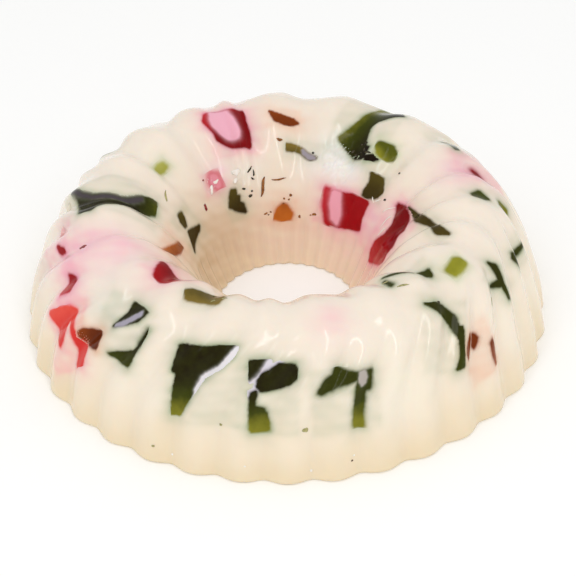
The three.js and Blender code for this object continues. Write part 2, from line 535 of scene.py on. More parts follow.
@dataclass(frozen=True)
class MilkFinish:
    """Set cream and condensed milk: opaque but soft, so light spreads a little under its skin."""

    roughness: float = 0.13
    ripple_size: float = 9 * MM

    def make(self) -> bpy.types.Material:
        """Builds the material, coloured by the milk attribute and mottled very slightly.

        Returns:
            The new material.
        """
        material = bpy.data.materials.new("milk_jelly")
        material.use_nodes = True
        tree = material.node_tree
        shader = tree.nodes["Principled BSDF"]
        place = add_node(tree, "ShaderNodeTexCoord").outputs["Object"]
        milk = add_node(tree, "ShaderNodeAttribute", {"attribute_name": JellyMaterial.MILK}).outputs["Color"]
        fine = add_node(
            tree, "ShaderNodeTexNoise", {"Scale": 1 / self.ripple_size, "Detail": 3.0}, {"Vector": place}
        ).outputs["Fac"]
        bright = add_node(
            tree, "ShaderNodeMath", {"operation": "MULTIPLY_ADD", 1: 0.06, 2: 0.97}, {0: fine}
        ).outputs[0]
        mottled = add_node(tree, "ShaderNodeHueSaturation", links={"Value": bright, "Color": milk})
        bump = add_node(
            tree, "ShaderNodeBump", {"Strength": 0.3, "Distance": 0.3 * MM}, {"Height": fine}
        ).outputs["Normal"]
        tree.links.new(mottled.outputs["Color"], shader.inputs["Base Color"])
        tree.links.new(bump, shader.inputs["Normal"])
        shader.inputs["Roughness"].default_value = self.roughness
        shader.inputs["IOR"].default_value = 1.4
        shader.inputs["Subsurface Weight"].default_value = 0.3
        shader.inputs["Subsurface Radius"].default_value = (1.0, 0.7, 0.5)
        shader.inputs["Subsurface Scale"].default_value = 3.0 * MM
        return material


# ---- The cubes --------------------------------------------------------------------------


@dataclass(frozen=True)
class Window:
    """A place where the milk left a cube's outer face bare, with a milky edge.

    The corners are millimetres from the middle of the face, to the right and up the outline.
    An island is the opposite: milk that lies inside such a place, thin and toned by the
    jelly under it if a colour is given for it. On the dark jellies that colour is also a
    painted sheen: the lamps' highlight and the room's reflection painted on the wet crests.
    """

    corners: tuple[tuple[float, float], ...]
    fade: float = 0.6
    island: bool = False
    # Colour of a thin milk island; on the dark jellies it is partly a painted sheen.
    tone: str = ""
    swell: float = 0.2
    corner_cut: float = 0.1

    def _rounded(self) -> np.ndarray:
        """Cuts the corners back a little, so that the outline turns softly.

        Returns:
            Two corners for each one.
        """
        corners = np.array(self.corners, float)
        after = np.roll(corners, -1, axis=0)
        cut = self.corner_cut
        pairs = np.stack([corners + cut * (after - corners), after + cut * (corners - after)], axis=1)
        return pairs.reshape(-1, 2)

    def distance(self, across: np.ndarray, up: np.ndarray) -> np.ndarray:
        """Finds how far places are from the window's edge.

        Args:
            across: Places on the face, in millimetres to the right of its middle.
            up: The same, up the outline.

        Returns:
            The distance from each in millimetres, negative inside the window.
        """
        corners = self._rounded()
        place = np.stack([across, up], axis=-1)
        nearest = np.full(across.shape, np.inf)
        inside = np.zeros(across.shape, bool)
        for start, end in zip(corners, np.roll(corners, -1, axis=0)):
            edge, away = end - start, place - start
            share = np.clip(away @ edge / (edge @ edge), 0, 1)
            gap = away - share[..., None] * edge
            nearest = np.minimum(nearest, np.hypot(gap[..., 0], gap[..., 1]))
            spans = (start[1] > up) != (end[1] > up)
            rise = edge[1] if edge[1] else 1e-9
            inside ^= spans & (across < start[0] + (up - start[1]) * edge[0] / rise)
        return np.where(inside, -nearest, nearest) - self.swell


@dataclass(frozen=True)
class JellyCube:
    """One cube of fruit jelly, lying against the mould.

    width runs round the ring and height up the outline, turn is counter-clockwise seen from
    outside, and cover is how deep the middle of its outer face lies under the lobes' crests.
    Its painted light is a side on which the jelly is painted lighter, as though light came
    through it where it is thin, in degrees counter-clockwise from its right, then how far
    that painted light reaches and how light it gets.
    """

    node: str
    jelly: Jelly
    azimuth: float
    along: float
    width: float
    height: float
    turn: float
    cover: float
    windows: tuple[Window, ...] = ()
    # Painted light: which side of the cube is painted lighter, how far that reaches and how light it gets.
    painted_light_side: float = -90.0
    painted_light_reach: float = 12.0
    painted_light_level: float = 0.9
    base_level: float = 0.12

    @property
    def depth(self) -> float:
        """How far the cube reaches inwards, in millimetres."""
        return min(14.0, 0.55 * (self.width + self.height) / 2 + 3)

    @property
    def seed(self) -> int:
        """Picks the cube's own unevenness, from its name."""
        return sum(ord(letter) for letter in self.node)

    def matrix(self, shape: RingShape) -> Matrix:
        """Finds the frame at the middle of the cube.

        Args:
            shape: The ring that it lies in.

        Returns:
            The frame: x to the right, y up the outline and z straight out.
        """
        sink = Matrix.Translation((0, 0, -(self.cover + self.depth / 2) * MM))
        turned = Matrix.Rotation(math.radians(self.turn), 4, "Z")
        return shape.frame_at(self.azimuth, self.along) @ sink @ turned

    def local(self, points: np.ndarray, shape: RingShape) -> np.ndarray:
        """Turns points into the cube's own frame, in millimetres."""
        inverse = np.array(self.matrix(shape).inverted())
        return (points @ inverse[:3, :3].T + inverse[:3, 3]) / MM

    def bare(self, across: np.ndarray, up: np.ndarray, with_film_and_sheen: bool = True) -> np.ndarray:
        """How bare the outer face is.

        Args:
            across: Places on the face, in millimetres to the right of its middle.
            up: The same, up the outline.
            with_film_and_sheen: Whether the toned islands, thin milk with a painted sheen on the dark
                jellies, count as milk.

        Returns:
            From 0 under milk to 1 where it is bare.
        """
        flat = np.stack([across, up, np.zeros_like(up)], axis=-1)
        ragged = 0.14 * ripple(flat, 6.0, self.seed) + 0.04 * ripple(flat, 2.2, self.seed + 1)
        result = np.zeros_like(across)
        for window in self.windows:
            if window.tone and not with_film_and_sheen:
                continue
            beyond = np.maximum(window.distance(across, up) + ragged, 0) / window.fade
            shown = np.exp(-(beyond**1.4))
            result = result * (1 - shown) if window.island else np.maximum(result, shown)
        return result

    def film_and_sheen(self, across: np.ndarray, up: np.ndarray, colours: np.ndarray) -> np.ndarray:
        """Tones the milk where it lies thin over the jelly, with a painted sheen on the dark jellies:
        the lamps' highlight and the room's reflection on the wet crests.

        Args:
            across: Places on the face, in millimetres to the right of its middle.
            up: The same, up the outline.
            colours: The milk's linear colour at each.

        Returns:
            The toned colours, with the painted sheen.
        """
        for window in self.windows:
            if window.tone:
                beyond = np.maximum(window.distance(across, up), 0) / (2 * window.fade)
                weight = np.exp(-(beyond**2))[:, None]
                colours = colours + (np.array(linear(window.tone)) - colours) * weight
        return colours

    def beyond(self, across: np.ndarray, up: np.ndarray) -> np.ndarray:
        """Finds how far places lie outside the windows.

        Args:
            across: Places on the face, in millimetres to the right of its middle.
            up: The same, up the outline.

        Returns:
            The distance from each in millimetres, 0 inside a window.
        """
        result = np.full(across.shape, np.inf)
        for window in self.windows:
            if not window.island:
                result = np.minimum(result, np.maximum(window.distance(across, up), 0))
        return result


CUBES = (
    # Front, from left to right.
    JellyCube(
        "cube_red_left", Jelly.SCARLET, -59.2, 0.196, 25, 26, 42, 1.5,
        (
            Window(
                (
                    (-12, 12), (-3.5, 12.5), (2, 12), (3.5, 8), (1, 4), (-1.5, -0.5), (-4.5, -3),
                    (-8.5, 5.5),
                ),
                0.8,
            ),
            Window(
                (
                    (2, 12), (6, 9.5), (7, 1), (10, -2), (12, -7), (8.5, -13), (3, -12), (5.5, -7),
                    (5, 4),
                ),
                0.8,
            ),
        ),
        painted_light_side=90, base_level=0.5,
    ),
    JellyCube(
        "cube_green_left", Jelly.GREEN, -43.5, 0.315, 23, 25, 0, 2.0,
        (
            Window(((-1.5, 12), (8, 12), (7.5, 10), (6, 7), (2.5, 4.5), (-5, 0), (-3, 3.5), (-1, 7.5)), 0.5),
            # Painted highlight: a lilac-white band of the lamps' highlight across the bare jelly.
            Window(
                (
                    (-4, 0.8), (0, 4.4), (3.2, 8), (5.5, 11), (6.3, 10), (3.8, 6.6), (0.4, 3),
                ),
                0.4, True, "a8a2b0",
            ),
            Window(((-2.5, -10.5), (3.5, -7), (8.5, -4.5), (10.5, 0.5), (10, -9), (9.5, -10.5)), 0.5),
            Window(((9.5, -1), (11.5, 6), (12, 6), (10.5, -1)), 1.0),
        ),
        painted_light_level=0.45,
    ),
    JellyCube(
        "cube_green_front_left", Jelly.GREEN, -19.0, 0.263, 28, 31, 6, 1.7,
        (
            Window(
                (
                    (-11.2, 14), (0, 14.3), (12, 15.5), (10.5, 11.5), (6, 7), (-0.5, 3), (-3.2, -1.5),
                    (-6.8, -7.5),
                    (-10, -13.3), (-14, -13.5), (-13.2, -9), (-12, -1.5), (-11.2, 1.5), (-11.2, 3.4),
                    (-12.8, 4.2), (-12.8, 7),
                ),
                0.35,
            ),
            # Thin milk over the crest, lilac white, with the lamps' highlight painted on it.
            Window(
                (
                    (11.5, 14.8), (13, 15), (8.8, 7.2), (1.4, 2.2), (-3.4, -4.5), (-3.8, -2.5),
                    (-1, 2.9), (5.8, 7.2),
                ),
                0.6, True, "efe9ec",
            ),
        ),
        painted_light_reach=19,
    ),
    JellyCube(
        "cube_green_front", Jelly.GREEN, -3.4, 0.250, 19, 29, 0, 1.7,
        (
            Window(((-9.5, 13.5), (-1, 14), (-2, 12), (-4.5, 9), (-6, 7), (-9, 5.5)), 0.35),
            # Thin milk on the crest between the bare places, lilac, with the lamps' highlight painted on it.
            Window(
                (
                    (-1.5, 14), (3, 15), (0, 11), (-4.5, 5), (-9.5, 0.5), (-9.5, 3.5), (-5, 8),
                ),
                0.7, True, "e2dbe4",
            ),
            Window(
                (
                    (-1, 10.5), (1, 12), (2.5, 13), (8, 12.5), (9, 10.5), (9, 7.5), (6, 4.5), (2.5, 3.5),
                    (-4.5, 2.5), (-6, 4), (-5.5, 6.5), (-4, 9),
                ),
                0.5,
            ),
            Window(
                (
                    (-8.5, 1), (-6, 2.5), (-6.5, -0.5), (-7, -3.5), (-3.5, -4.5), (-2.5, -6.5), (-1.5, -10.5),
                    (-1.5, -13.5), (-8.5, -14),
                ),
                0.6,
            ),
        ),
        painted_light_reach=17,
    ),
    JellyCube(
        "cube_green_front_right", Jelly.GREEN, 12.6, 0.230, 25, 25, 0, 2.1,
        (
            Window(
                (
                    (-2, 12.5), (2, 10.5), (6, 9.5), (5.5, 7.5), (-1.5, 6), (-8.5, 3), (-10, 4),
                    (-6.5, 8.5), (-3.5, 9.5),
                ),
                0.9,
            ),
            Window(
                (
                    (5.5, 6.5), (6, 9.5), (11.5, 9.5), (11, 6.5), (10, 2.5), (8, 2), (7, -2.5), (6, -7),
                    (6, -12), (2.5, -11.5), (3, -6), (4.5, 3),
                ),
                0.9,
            ),
            # Painted highlight: a milky grey patch on the bare jelly.
            Window(((6.4, 9.5), (8.6, 9.8), (9.3, 7.5), (8.5, 5), (7, 4.2), (6, 6.5)), 0.4, True, "b9b0a8"),
        ),
        painted_light_reach=14, base_level=0.38,
    ),
    JellyCube(
        "cube_green_shoulder", Jelly.GREEN, 40.3, 0.301, 20, 27, -25, 2.0,
        (
            Window(
                (
                    (-9, 13), (-4, 13.5), (0, 12), (5, 8), (6, 4), (7.5, 4), (8.5, -8), (9, -11.5), (5, -13),
                    (6.5, -8), (6, -0.5), (2, 5.5), (-2.5, 9.5),
                ),
                0.45,
            ),
        ),
        base_level=0.3, painted_light_level=0.45,
    ),
    JellyCube(
        "cube_amber_right", Jelly.AMBER, 48.6, 0.205, 16, 20, 8, 1.9,
        (
            Window(((-0.5, 9.5), (-1, 8), (-7.5, 2), (-7, 5), (-5, 8)), 0.7),
            Window(((1, 8), (2, 7), (2, 5.5), (-1.5, 3), (-2, 4.5)), 0.7),
            Window(((7, 1), (7.5, -1), (4.5, -9.5), (4, -4.5), (5.5, 0.5)), 0.9),
        ),
        base_level=0.25, painted_light_level=0.6,
    ),
    JellyCube(
        "cube_green_right", Jelly.GREEN, 65.0, 0.311, 13, 18, 15, 2.0,
        (
            Window(((4, 8), (4.5, 5), (0, -1), (-3, -7.5), (-3.8, -6.5), (-1.4, -0.6), (2.4, 4.8)), 0.5),
            Window(((0.4, 0.6), (-1.6, -1.2), (-3.5, 1), (-5.2, 3.2), (-2.4, 2.4)), 0.5),
        ),
        base_level=0.25, painted_light_level=0.4,
    ),
    JellyCube(
        "cube_green_right_low", Jelly.GREEN, 80.5, 0.283, 23, 11, -15, 2.0,
        (Window(((-8.5, 3), (-5.5, 1), (-0.5, 0.5), (11, 0.5), (-3.5, -1.5), (-8, -3.5), (-10, 1)), 0.7),),
        base_level=0.3, painted_light_level=0.4,
    ),
    # Right and back, over the dome.
    JellyCube(
        "cube_green_right_high", Jelly.GREEN, 93.0, 0.397, 10, 24, 15, 1.8,
        (
            Window(((1.5, 9), (3.5, 5), (-0.5, 1), (-1.5, 5), (-0.5, 9.5)), 0.7),
            Window(((1, -5.5), (-1, -10), (-2.5, -10), (-2, -4.5)), 0.6),
        ),
        base_level=0.5,
    ),
    JellyCube(
        "cube_red_right_back", Jelly.RED, 108.0, 0.390, 24, 20, 10, 2.1,
        (Window(((-0.5, 4), (-3, 2), (-11, -1.5), (-9, 3.5)), 1.6),),
    ),
    JellyCube(
        "cube_green_back_right", Jelly.GREEN, 121.8, 0.410, 20, 14, 0, 2.0,
        (Window(((1.5, 3.5), (-1, 0.5), (-9, 3.5), (-9, 5.5), (-5, 4.5)), 0.7),),
        base_level=0.3,
    ),
    JellyCube(
        "cube_green_back_large", Jelly.GREEN, 147.0, 0.520, 27, 37, 4, 1.8,
        (
            Window(
                (
                    (10, 12), (7, 6), (3.5, -4.5), (2.5, -15.5), (-3, -15.5), (-13, -7.5), (-7, -4),
                    (-3, -1.5),
                    (-1, 3), (-2, 9), (-3, 11.5), (-5, 12.5), (-4, 17.5), (0.5, 17), (5, 14.5),
                ),
                0.5,
            ),
            Window(((-4.5, 16.5), (-9.5, 15.5), (-11.5, 17), (-9, 18.5), (-5.5, 18.5)), 0.5),
        ),
        painted_light_side=-20, painted_light_reach=30, painted_light_level=1.25, base_level=0.0,
    ),
    # Low on the far side.
    JellyCube(
        "cube_green_far_back", Jelly.GREEN, 166.0, 0.285, 20, 22, 12, 2.0,
        (
            Window(((-6, 7), (-2, 8), (1, 3), (4, -2), (1.5, -3), (-1, 0), (-3.5, 2)), 0.7),
            Window(((5, -4), (7, -8), (4, -9), (3, -6)), 0.8),
        ),
        base_level=0.3,
    ),
    JellyCube(
        "cube_red_far_back", Jelly.RED, -169.0, 0.345, 18, 17, -10, 2.0,
        (Window(((-5, 4), (0, 5), (3.5, 0), (2, -5), (-1, -3), (-3, 0)), 0.9),),
        base_level=0.3,
    ),
    JellyCube(
        "cube_amber_far_back", Jelly.AMBER, -147.0, 0.270, 15, 18, 8, 1.9,
        (
            Window(((-2, 7), (1, 6), (0.5, 0), (-2, 1.5)), 0.7),
            Window(((0.5, -2), (3, -3), (2, -7), (-0.5, -6)), 0.8),
        ),
    ),
    JellyCube(
        "cube_green_far_left", Jelly.GREEN, -121.0, 0.320, 22, 20, -14, 2.0,
        (Window(((-8, 3), (-3, 5.5), (2, 3), (7, 4), (6, 0), (1, -0.5), (0, -6), (-3, -5), (-4, 0)), 0.7),),
        base_level=0.3,
    ),
    # On the dome and over its rim, from the back round to the left.
    JellyCube(
        "cube_lime_back", Jelly.LIME, 133.6, 0.590, 11, 9, 10, 0.6,
        (Window(((5, -1), (4, -2.5), (-2.5, -3), (-5, -0.5), (-5, 2.5), (-3, 4), (0.5, 3.5), (3, 2)), 0.7),),
        painted_light_side=60, painted_light_reach=8, base_level=0.0, painted_light_level=0.7,
    ),
    JellyCube(
        "cube_lime_right", Jelly.LIME, 55.5, 0.435, 12, 9, 0, 0.8,
        (
            Window(
                (
                    (-4.5, 2), (-2, 2.5), (2, 3), (4, 1.5), (4.5, -1.5), (3.5, -2), (-1, -2.5),
                    (-4, -2),
                ),
                1.1,
            ),
        ),
        base_level=0.45, painted_light_reach=5, painted_light_level=0.7,
    ),
    JellyCube(
        "cube_green_rim_right", Jelly.GREEN, 43.0, 0.525, 20, 12, -22, 1.6,
        (
            Window(((-8.5, 5), (-6, 3.7), (-1, 1.5), (3, -0.7), (2, -1.5), (-1, -0.5), (-5.5, 2)), 0.4),
            Window(((4, -0.5), (9.5, -0.3), (9, -3.5), (6.5, -3)), 0.5),
            Window(((-9, 1.5), (-7.5, -4), (-8.5, -4.5), (-9, -0.5)), 0.9),
        ),
        base_level=0.3, painted_light_level=0.35,
    ),
    JellyCube(
        "cube_green_tail", Jelly.OLIVE, 82.0, 0.606, 39, 8, 30, 1.0,
        (
            Window(
                (
                    (18.5, 0.5), (8, -0.5), (-2.5, -1.5), (-12, -2), (-19, -2.5), (-14.5, 1.5), (-8, 0.2),
                    (-1, 0.2), (6, 3), (12, 2),
                ),
                0.5,
            ),
        ),
        painted_light_side=180, base_level=0.25, painted_light_level=0.35,
    ),
    JellyCube(
        "cube_amber_back", Jelly.AMBER, 180.0, 0.556, 14, 8, 0, 1.0,
        (Window(((6.5, -3), (3, -1.5), (-4, 0), (-6.5, 2), (-3, 3.5), (1, 3), (4, 2), (5, 0)), 0.4),),
        base_level=0.1, painted_light_level=0.45,
    ),
    JellyCube(
        "cube_red_back", Jelly.RED, -157.6, 0.568, 21, 23, 4, 1.4,
        (
            Window(
                (
                    (7.5, -10), (2, -11), (-6, -8), (-10, -6.5), (-9, -2), (-8, 5.5), (-6, 11), (-1.5, 9.5),
                    (6, 5.5), (7.5, 4), (7.5, 0), (10, -6.5),
                ),
                0.5,
            ),
            Window(
                (
                    (4, -10.5), (1, -10), (-2.5, -8.5), (-3, -5.5), (-3.5, -1), (-3.5, 2.5), (-2.5, 5),
                    (-1, 5),
                    (2, 3.5), (4, 1), (6, -3), (6, -6.5),
                ),
                1.0, True, "f6b8c9",
            ),
        ),
        painted_light_side=-60, painted_light_reach=16, painted_light_level=0.8, base_level=0.1,
    ),
    JellyCube(
        "cube_lime_left", Jelly.LIME, -121.0, 0.585, 9, 7, 0, 0.5,
        (Window(((-2.5, 1), (0, 1.7), (2.5, 1), (2.5, -1), (0, -1.7), (-2.5, -1)), 1.2),),
        base_level=0.6,
    ),
    JellyCube(
        "cube_green_left_long", Jelly.GREEN, -94.5, 0.512, 26, 37, 0, 1.9,
        (
            Window(
                (
                    (-12.5, -18), (-6.5, -15), (-1.5, -9), (-0.5, 4), (-8, 17), (-1.5, 18), (2, 13),
                    (5.5, 4.5),
                    (7.5, -3), (9.5, -6.5), (12, -8), (11.5, -12.5), (4, -13), (-2.5, -14),
                ),
                0.45,
            ),
            # Painted reflection: a dull lilac-grey band along the top of the bare jelly, the bright room
            # mirrored in its wet crest.
            Window(
                (
                    (-11.5, -18), (-5.5, -14.5), (-1, -9), (0, 4), (-4, 11), (-3.4, 11.2), (0.6, 5),
                    (-0.2, -8), (-4.6, -13.6),
                ),
                0.6, True, "4f484b",
            ),
        ),
        painted_light_side=90, painted_light_reach=10, painted_light_level=0.55,
    ),
    # Left, from the rim of the dome to the shoulder.
    JellyCube(
        "cube_red_rim_left", Jelly.RED, -45.2, 0.546, 17, 13, 0, 0.9,
        (
            Window(
                (
                    (-8, 4.5), (-3, 4.5), (6.5, 6), (7.5, -2), (5.5, -5), (3, -5.7), (-1.5, -5.5),
                    (-4, -2.5),
                ),
                0.6,
            ),
        ),
        painted_light_level=0.4, base_level=0.1,
    ),
    JellyCube(
        "cube_olive_rim", Jelly.OLIVE, -26.5, 0.514, 17, 13, 20, 1.0,
        (
            Window(
                (
                    (-8, 0.5), (-5, 2.5), (2.5, 5), (6.5, 6), (7, -2), (5.5, -5.5), (0.5, -2.5),
                    (-7, -3.5),
                ),
                0.8,
            ),
        ),
        base_level=0.5,
    ),
    JellyCube(
        "cube_red_shoulder_left", Jelly.RED, -67.0, 0.295, 12, 13, 12, 1.8,
        (Window(((-3.5, 4.5), (0, 5.5), (3.5, 5), (4.5, 0.5), (1.5, -1.5), (-2.5, -4), (-2, 1)), 0.6),),
        base_level=0.3,
    ),
    JellyCube(
        "cube_red_far_left", Jelly.RED, -83.0, 0.300, 17, 17, -10, 1.9,
        (Window(((1, 2.5), (5, 6), (6.5, 6), (5.5, 3.5), (3.5, 2)), 0.6),),
        base_level=0.3,
    ),
    JellyCube(
        "cube_russet_left", Jelly.AMBER, -51.9, 0.253, 15, 9, 0, 1.0,
        (
            Window(
                (
                    (-6.5, -2), (-4.5, 0.5), (-0.5, 2.5), (3.5, 4), (5.5, 3), (7, -2), (1.5, -3.5),
                    (-5.5, -3.5),
                ),
                0.6,
            ),
        ),
        painted_light_side=180, base_level=0.0, painted_light_level=0.5,
    ),
    # The slope into the hole.
    JellyCube(
        "cube_russet_hole_left", Jelly.AMBER, -78.3, 0.705, 27, 11, -24, 0.2,
        (Window(((12.5, -4.5), (-5, 1), (-12, 2), (-13, 5), (-4, 4.5), (3.5, 2), (9, -1)), 0.8),),
        base_level=0.5,
    ),
    JellyCube(
        "cube_green_hole_left", Jelly.OLIVE, -108.4, 0.765, 15, 18, 0, 0.0,
        (
            Window(((0.5, -8), (-2, -7.5), (-1.5, -5), (0.5, -2), (2, -2), (2.5, -5)), 0.6),
            Window(((2, 0), (-2, 1.5), (-6.5, 3), (-5, 4.5), (-1.5, 5), (2.5, 6), (6.5, 8.5), (3.5, 3)), 0.6),
        ),
        base_level=0.15, painted_light_level=0.4,
    ),
    JellyCube(
        "cube_pink_hole", Jelly.RED, -140.0, 0.702, 10, 9, 0, 0.0,
        (
            Window(((-1.5, -3), (-3.5, -1.5), (-3, 3.5), (-1.5, 3.5), (1, 0)), 1.6),
            Window(((-1.2, -2.4), (-3, -1.2), (-2.6, 3), (-1.6, 3), (0.6, 0)), 1.2, True, "e894a0"),
        ),
        base_level=0.9,
    ),
    JellyCube(
        "cube_green_hole_back", Jelly.OLIVE, -149.0, 0.785, 10, 14, 10, -0.2,
        (
            Window(
                (
                    (-0.5, -6), (-2.5, -5), (-1.5, -2.5), (-3, -2), (-1.5, 0.5), (-3, 2), (-2.5, 6),
                    (1, 3.5), (3.5, 0.5), (2.5, -2),
                ),
                0.6,
            ),
        ),
        base_level=0.1, painted_light_level=0.4,
    ),
    JellyCube(
        "cube_amber_hole", Jelly.AMBER, 180.5, 0.837, 10, 9, 0, -0.2,
        (
            Window(
                (
                    (0.5, -3.5), (-1, -3), (-3.5, 1), (-2.5, 3.5), (1, 4), (4.5, 3), (4, 1.5),
                    (3, -1.5),
                ),
                0.8,
            ),
        ),
        base_level=0.7, painted_light_side=90, painted_light_level=1.0,
    ),
    JellyCube(
        "cube_green_hole_broken", Jelly.OLIVE, 170.5, 0.657, 17, 8, -6, 0.2,
        (
            Window(
                (
                    (8.2, -1.5), (6, -2), (2.5, -1.5), (0, 1.5), (2, 1), (4.5, 0.5), (5.5, 1),
                    (7.5, 1),
                ),
                0.5,
            ),
            Window(((2, -1.5), (-1, 0.5), (-3.5, 1.5), (-6, 2), (-3.5, 3.5), (-2, 3), (1.5, 1)), 0.5),
            Window(((1, -0.6), (-1.5, 1), (-5.5, 2.2), (-3, 3), (0.5, 1)), 0.4, True, "a49ca6"),
        ),
        base_level=0.2,
    ),
    JellyCube(
        "cube_red_hole_back", Jelly.RED, 140.0, 0.803, 26, 18, 0, -0.2,
        (
            Window(
                (
                    (4.5, -7), (-1.5, -8.5), (-10, -8.5), (-9.5, -0.5), (-10.5, 4.5), (-2.5, 6.5),
                    (1.5, 7.5), (1, 2.5), (1.5, -1.5), (3, -5),
                ),
                0.5,
            ),
            Window(((12, -6.5), (10, -6.5), (8.5, -1), (6, 6), (6, 8.5), (7.5, 8), (10.5, 1)), 1.1),
            Window(((4.5, -7), (9.5, -6.5), (8.5, -1), (6, 6), (6, 8), (1.5, 7.5), (1, 2.5), (3, -5)), 0.5),
            Window(((5.2, -6.5), (8.5, -6.2), (7.5, -1), (5.2, 5), (2.4, 6.5), (2, 2)), 1.0, True, "f3a9ba"),
        ),
        painted_light_side=0, painted_light_reach=10, base_level=0.35, painted_light_level=0.8,
    ),
    JellyCube(
        "cube_olive_hole", Jelly.OLIVE, 128.0, 0.697, 12, 12, 10, -0.2,
        (
            Window(
                (
                    (4, -5.5), (-1.5, -5), (-3.5, -2.5), (-5.5, 0.5), (-3, 4), (3, 5.5), (4.5, 5),
                    (4.5, 3), (3, -1.5),
                ),
                0.5,
            ),
        ),
        base_level=0.15, painted_light_level=0.45,
    ),
    JellyCube(
        "cube_red_hole_right", Jelly.RED, 95.5, 0.765, 24, 32, 6, -0.2,
        (
            Window(
                (
                    (10.5, -12), (2.5, -15.5), (-0.5, -14.5), (-8.5, -10.5), (-7, -6.5), (-9.5, -2),
                    (-8.5, 2.5),
                    (-11, 5.5), (-8, 8.5), (6.5, 15.5), (8, 12.5), (8, 6.5), (4, 0.5), (3, -6),
                ),
                0.7,
            ),
        ),
        painted_light_side=90, painted_light_reach=24, base_level=0.05, painted_light_level=0.7,
    ),
)


@dataclass(frozen=True)
class Tint:
    """A soft patch of colour in the milk, centred on a place of the ring."""

    azimuth: float
    along: float
    reach: float
    colour: str
    strength: float


TINTS = (
    Tint(-74, 0.36, 11, "f8aec2", 0.75),
    Tint(-66, 0.31, 9, "f8aec2", 0.7),
    Tint(-72, 0.44, 8, "f9b4c6", 0.6),
    Tint(-88, 0.34, 9, "f7bccb", 0.4),
    Tint(-84, 0.20, 10, "d8b9b6", 0.45),
    Tint(-62, 0.47, 14, "fbdcd9", 0.6),
    Tint(-67, 0.50, 10, "f9b9c8", 0.6),
    Tint(-52, 0.62, 12, "e9b3b0", 0.5),
    Tint(12, 0.44, 8, "f9cfcf", 0.65),
    Tint(104, 0.47, 10, "efb4c4", 0.75),
    Tint(157, 0.655, 8, "fffcf8", 0.9),
    Tint(149, 0.680, 11, "fffcf8", 1.0),
    Tint(166, 0.69, 6, "fffaf5", 0.6),
    Tint(-146, 0.69, 6, "fff6f2", 0.85),
    Tint(-160, 0.71, 7, "f6f2e4", 0.8),
    Tint(117, 0.79, 12, "f8ccd6", 0.85),
    Tint(95, 0.90, 14, "f7c6b8", 0.6),
    Tint(135, 0.90, 18, "f8d3c8", 0.6),
    # Painted shade: brownish tan on the shadowed left wall of the hole.
    Tint(-110, 0.88, 22, "cdb28c", 0.8),
    Tint(-140, 0.88, 20, "d9bd9b", 0.75),
    Tint(180, 0.90, 20, "eed3c0", 0.7),
    Tint(-50, 0.34, 12, "dfe3d6", 0.5),
    Tint(26, 0.24, 14, "fbf0dc", 0.6),
)


@dataclass(frozen=True)
class MilkColour:
    """The milk's colour everywhere: cream, yellower low down and darker there as painted shade, tinted by the
    jelly, and with painted shade on the shadowed left wall of the hole.
    """

    shape: RingShape
    # The low colour is yellower cream, and darker as a painted shade at the foot.
    low: str = "efdcba"
    middle: str = "faeddb"
    top: str = "f9ebdb"
    foot_to_middle: tuple[float, float] = (-4 * MM, 34 * MM)
    middle_to_top: tuple[float, float] = (30 * MM, 54 * MM)
    drift_size: float = 60 * MM
    cloud_size: float = 16 * MM

    def at(self, points: np.ndarray) -> np.ndarray:
        """Finds the colour at points.

        Args:
            points: Places on or near the surface.

        Returns:
            Linear red, green, blue and alpha for each.
        """
        low, middle, top = (np.array(linear(c))[:3] for c in (self.low, self.middle, self.top))
        height = points[:, 2] + 4 * MM * ripple(points, self.drift_size, seed=5)
        colour = low + (middle - low) * smoothstep(*self.foot_to_middle, height)[:, None]
        colour = colour + (top - colour) * smoothstep(*self.middle_to_top, height)[:, None]
        cloud = 1 + 0.3 * ripple(points, self.cloud_size, seed=3)
        for tint in TINTS:
            centre = np.array(self.shape.frame_at(tint.azimuth, tint.along).translation)
            away = np.linalg.norm(points - centre, axis=1) / (tint.reach * MM)
            weight = np.clip(tint.strength * np.exp(-(away**2)) * cloud, 0, 1)[:, None]
            colour = colour + (np.array(linear(tint.colour))[:3] - colour) * weight
        for cube in CUBES:
            colour = self._dyed(colour, points, cloud, cube)
        return np.hstack([colour, np.ones((len(points), 1))])

    def _dyed(self, colour: np.ndarray, points: np.ndarray, cloud: np.ndarray, cube: JellyCube) -> np.ndarray:
        """Adds the dye that has crept from one cube into the milk.

        Args:
            colour: The milk's linear colour at each point, without alpha.
            points: Places on or near the surface.
            cloud: How strongly the milk takes up dye at each.
            cube: Which cube.

        Returns:
            The dyed colours.
        """
        local = cube.local(points, self.shape)
        near = (np.abs(local).max(axis=1) < max(cube.width, cube.height) / 2 + 14) & (local[:, 2] > -12)
        across, up = local[near, 0], local[near, 1]
        finish = cube.jelly.value
        beside = np.hypot(
            np.maximum(np.abs(across) - cube.width / 2, 0), np.maximum(np.abs(up) - cube.height / 2, 0)
        )
        over = finish.body * np.exp(-beside / 1.6)
        by_window = finish.dye_strength * np.exp(-cube.beyond(across, up) / finish.dye_reach)
        weight = np.clip(np.maximum(over, by_window) * cloud[near], 0, 0.95)[:, None]
        colour[near] += (np.array(linear(finish.dye))[:3] - colour[near]) * weight
        return colour


@dataclass(frozen=True)
class TornPatch:
    """A place where the skin of the milk jelly stuck to the mould and came away uneven."""

    azimuth: float
    along: float
    reach: float
    depth: float = 0.45


TORN_PATCHES = (
    TornPatch(156, 0.668, 8),
    TornPatch(148, 0.69, 9, 0.55),
    TornPatch(-157, 0.715, 6),
    TornPatch(-139, 0.705, 4),
    TornPatch(108, 0.75, 4, 0.3),
)


